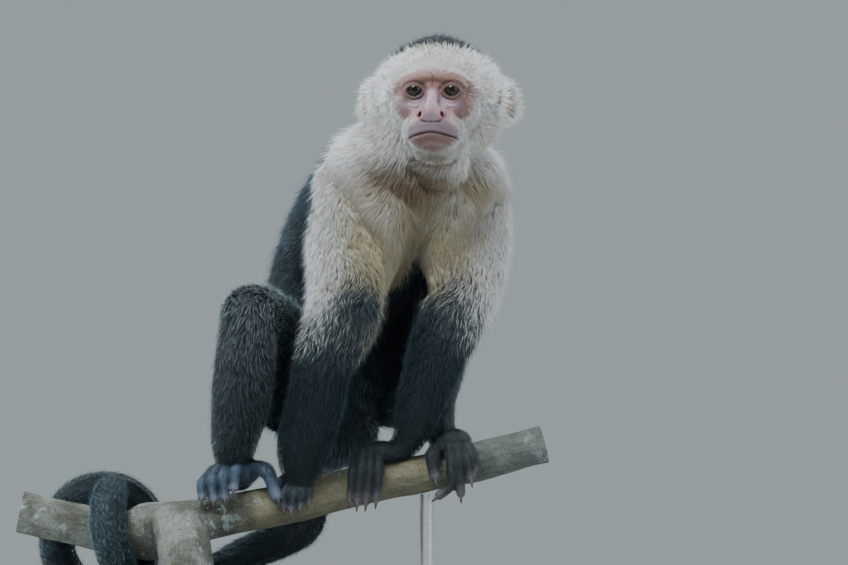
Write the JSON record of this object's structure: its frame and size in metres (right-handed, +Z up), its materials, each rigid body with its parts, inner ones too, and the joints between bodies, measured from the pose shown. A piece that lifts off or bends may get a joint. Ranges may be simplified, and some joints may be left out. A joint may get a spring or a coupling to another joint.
{
  "type": "white-faced capuchin monkey",
  "caption": "Life-size still model of a white-faced capuchin monkey squatting on a cut branch, held by a plain display stand.",
  "frame": {"origin": "centre of the stand base's underside, on the floor", "axes": "+Z up, the monkey looks along -Y, its right side is at -X and the perch rises towards +X"},
  "size_m": [0.3802, 0.2717, 0.4455],
  "materials": {
    "white_coat": "soft cream-white fur, about 6 to 14 mm deep",
    "black_coat": "black fur with a blue sheen and pale hair tips, about 5 to 10 mm deep",
    "ear_skin": "bare pink skin with a fringe of pale hair",
    "hand_skin": "creased grey-violet skin with short dark hair, and dark horn claws",
    "eye": "wet dark brown eye",
    "bark": "weathered grey-brown bark, sawn ends",
    "stand_paint": "satin dark grey paint",
    "steel": "brushed steel rod"
  },
  "bodies": {
    "root": {"head": "white_coat", "ear_right": "ear_skin", "ear_left": "ear_skin", "eye_right": "eye", "eye_left": "eye", "neck": "white_coat", "chest": "white_coat", "belly": "black_coat", "pelvis": "black_coat", "upper_arm_right": "white_coat", "forearm_right": "black_coat", "hand_right": "hand_skin", "upper_arm_left": "white_coat", "forearm_left": "black_coat", "hand_left": "hand_skin", "thigh_right": "black_coat", "shin_right": "black_coat", "foot_right": "hand_skin", "thigh_left": "black_coat", "shin_left": "black_coat", "foot_left": "hand_skin", "tail_1": "black_coat", "tail_2": "black_coat", "tail_3": "black_coat", "tail_4": "black_coat", "tail_5": "black_coat", "perch": "bark", "stand_base": "stand_paint", "stand_rod_left": "steel", "stand_rod_right": "steel"}
  },
  "joints": []
}
